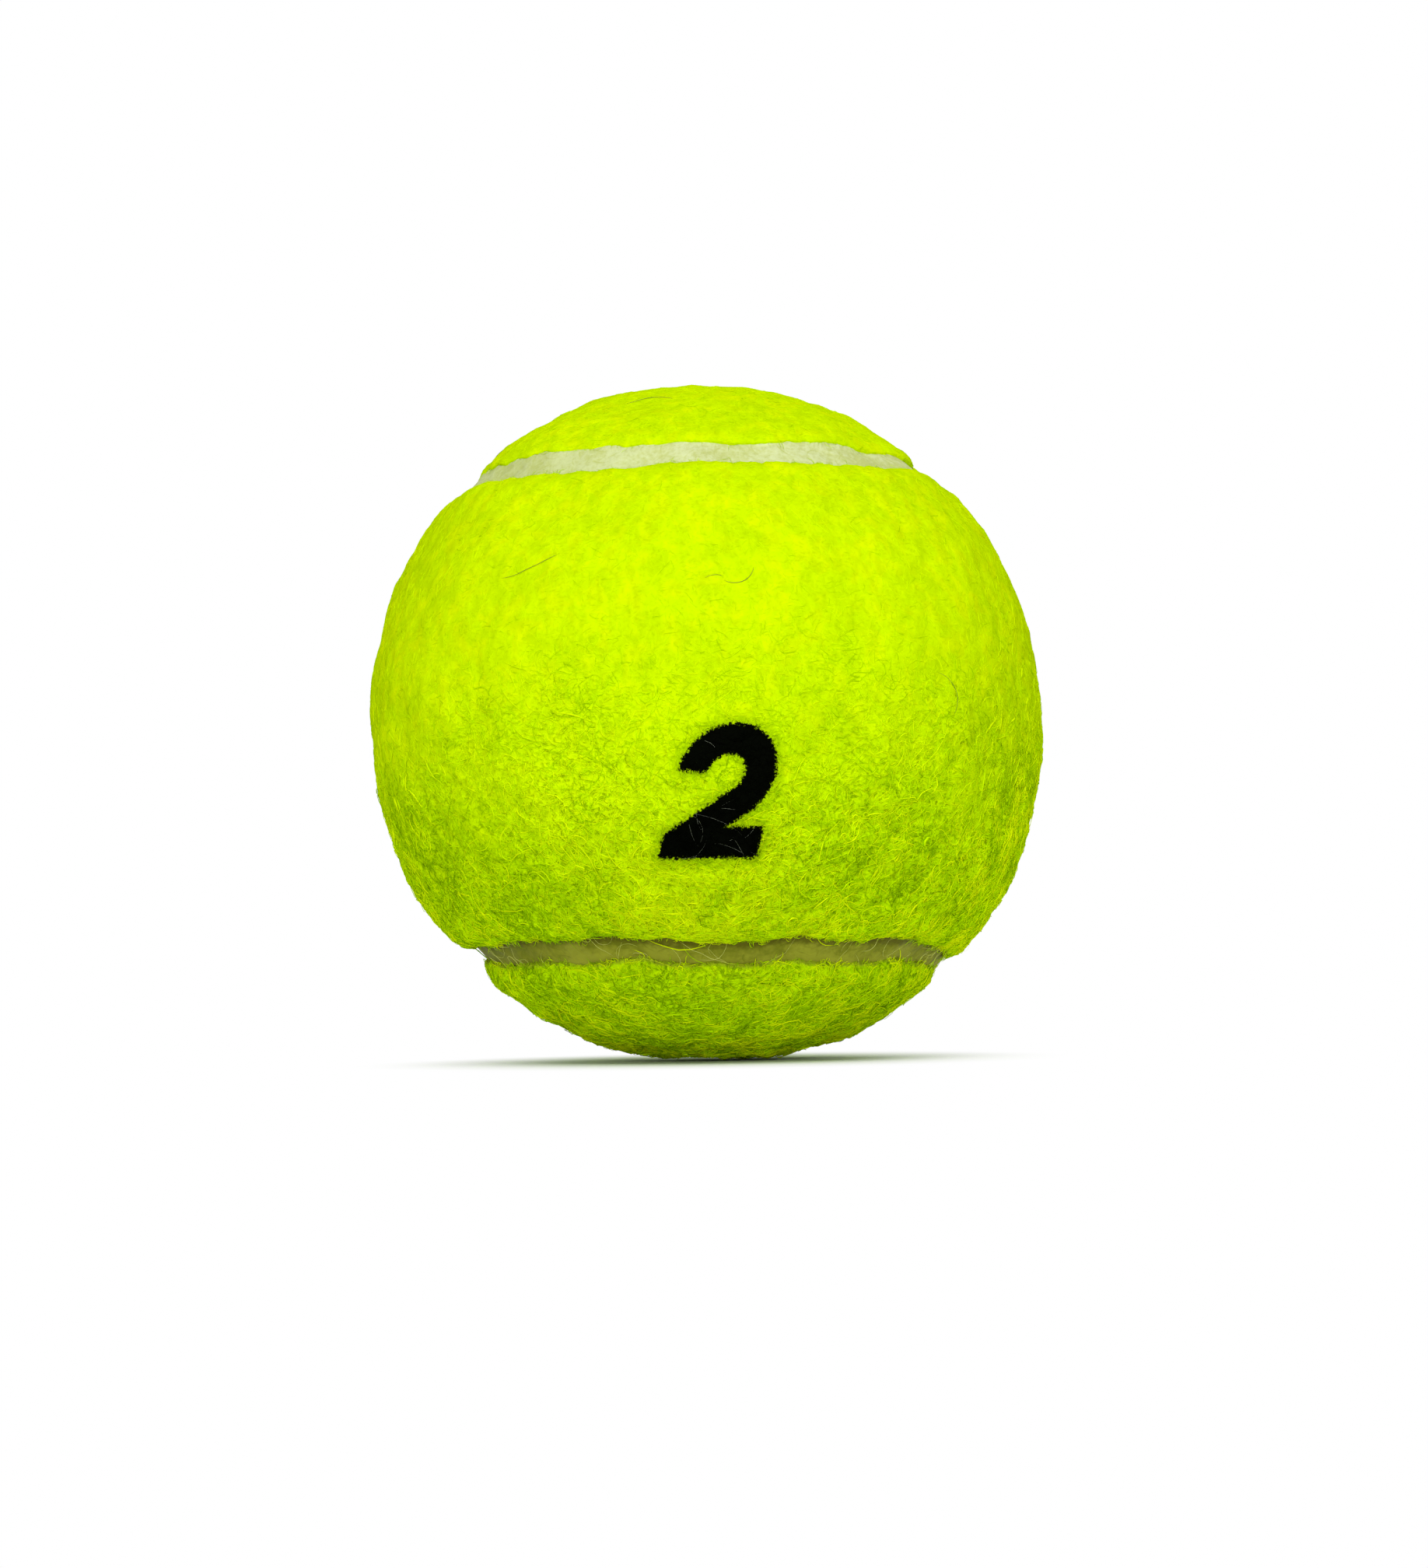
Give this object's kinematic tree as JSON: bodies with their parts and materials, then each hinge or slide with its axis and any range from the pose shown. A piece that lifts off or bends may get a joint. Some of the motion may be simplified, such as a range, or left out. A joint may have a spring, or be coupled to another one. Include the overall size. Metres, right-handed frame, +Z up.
{
  "type": "tennis ball",
  "caption": "Felt-covered hollow rubber tennis ball: moulded core shells under interlocking dog-bone felt panels, joined along one continuous recessed rubber seam.",
  "frame": {"origin": "the centre of the ball", "axes": "-Y through the middle of the front panel's waist, +Y through the middle of the back panel's waist, +X along the front panel's spine, +Z up and along the back panel's spine"},
  "size_m": [0.067, 0.067, 0.067],
  "materials": {
    "felt": "matte",
    "seam_rubber": "satin",
    "core_rubber": "matte",
    "cement": "satin"
  },
  "bodies": {
    "root": {"core_upper_half": "core_rubber", "core_lower_half": "core_rubber", "core_joint_cement": "cement", "front_panel_cement": "cement", "back_panel_cement": "cement", "front_felt_panel": "felt", "back_felt_panel": "felt", "seam_strip": "seam_rubber"}
  },
  "joints": []
}
